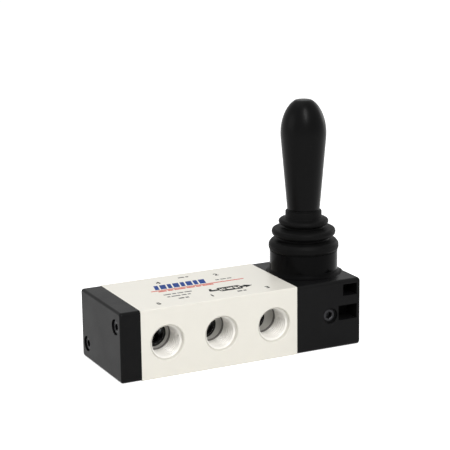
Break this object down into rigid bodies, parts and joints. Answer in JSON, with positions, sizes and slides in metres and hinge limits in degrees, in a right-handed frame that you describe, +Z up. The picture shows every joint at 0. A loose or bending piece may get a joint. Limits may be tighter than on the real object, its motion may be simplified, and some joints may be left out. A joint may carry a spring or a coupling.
{
  "type": "hand lever air valve",
  "caption": "Rectangular spool valve block with threaded ports in front and back, an end cover and an upright hand lever in a ribbed boot that slides the spool.",
  "frame": {"origin": "middle of the block's bottom face, under the middle of its length and depth", "axes": "+X along the spool from the end cover to the lever housing, -Y the face with the front ports, +Z up along the lever"},
  "size_m": [0.1014, 0.039, 0.0956],
  "materials": {
    "body_paint": "off-white satin paint on aluminium",
    "black_moulding": "black moulded plastic, fine texture",
    "black_steel": "blackened steel",
    "seal_rubber": "smooth nitrile rubber",
    "spool_aluminium": "turned and anodised",
    "bright_steel": "ground steel",
    "spring_steel": "bright spring steel",
    "cast_zinc": "die-cast, matt",
    "brass": "turned brass",
    "boot_rubber": "soft moulded rubber, satin",
    "grip_plastic": "black moulded plastic, satin"
  },
  "bodies": {
    "root": {"valve_body": "body_paint", "end_cover": "black_moulding", "cover_seal": "seal_rubber", "cover_screws": "black_steel", "lever_housing": "black_moulding", "housing_seal": "seal_rubber", "housing_screws": "black_steel", "detent_spring": "spring_steel", "detent_screw": "black_steel", "pivot_carrier": "cast_zinc", "pivot_bushes": "brass", "carrier_clip": "spring_steel", "boot": "boot_rubber"},
    "lever": {"lever_rod": "bright_steel", "lever_hub": "bright_steel", "pivot_pin": "bright_steel", "handle_insert": "brass", "handle_grip": "grip_plastic"},
    "spool": {"spool": "spool_aluminium", "spool_seals": "seal_rubber", "spool_yoke": "bright_steel", "yoke_pin": "bright_steel"},
    "detent_ball": {"detent_ball": "bright_steel"}
  },
  "joints": [
    {"name": "lever_tilt", "type": "hinge", "parent": "root", "child": "lever", "pos_m": [0.0361, 0, 0.0253], "axis": [0, 1, 0], "range_deg": [-15, 15], "deforming": ["boot"]},
    {"name": "spool_slide", "type": "slide", "parent": "root", "child": "spool", "axis": [1, 0, 0], "range_m": [-0.0031, 0.0031]},
    {"name": "detent_ball_slide", "type": "slide", "parent": "root", "child": "detent_ball", "axis": [0, 1, 0], "range_m": [0, 0.0004], "deforming": ["detent_spring"]}
  ],
  "couplings": [
    {"joint": "spool_slide", "follows": "lever_tilt", "m_per_rad": -0.011765}
  ]
}
